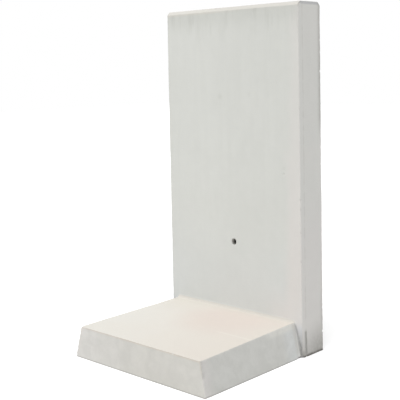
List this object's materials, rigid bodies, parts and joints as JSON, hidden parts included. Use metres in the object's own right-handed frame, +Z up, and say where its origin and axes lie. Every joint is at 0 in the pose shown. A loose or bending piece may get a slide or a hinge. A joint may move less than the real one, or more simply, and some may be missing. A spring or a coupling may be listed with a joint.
{
  "type": "l-shaped retaining wall block",
  "caption": "Cast concrete retaining wall block in an L shape: an upright slab with chamfered top and a round hole, on a low foot with leaning sides",
  "frame": {"origin": "middle of the ground that the block covers, under the middle of its bounding box", "axes": "+Z up the stem, -Y out along the foot, +Y out of the wall's far (visible) face, X along the wall"},
  "size_m": [0.415, 0.402, 0.8],
  "materials": {
    "cast_concrete": "pale grey cast concrete, smooth from the mould, matt, with faint clouding and worn arrises"
  },
  "bodies": {
    "root": {"wall_block": "cast_concrete"}
  },
  "joints": []
}
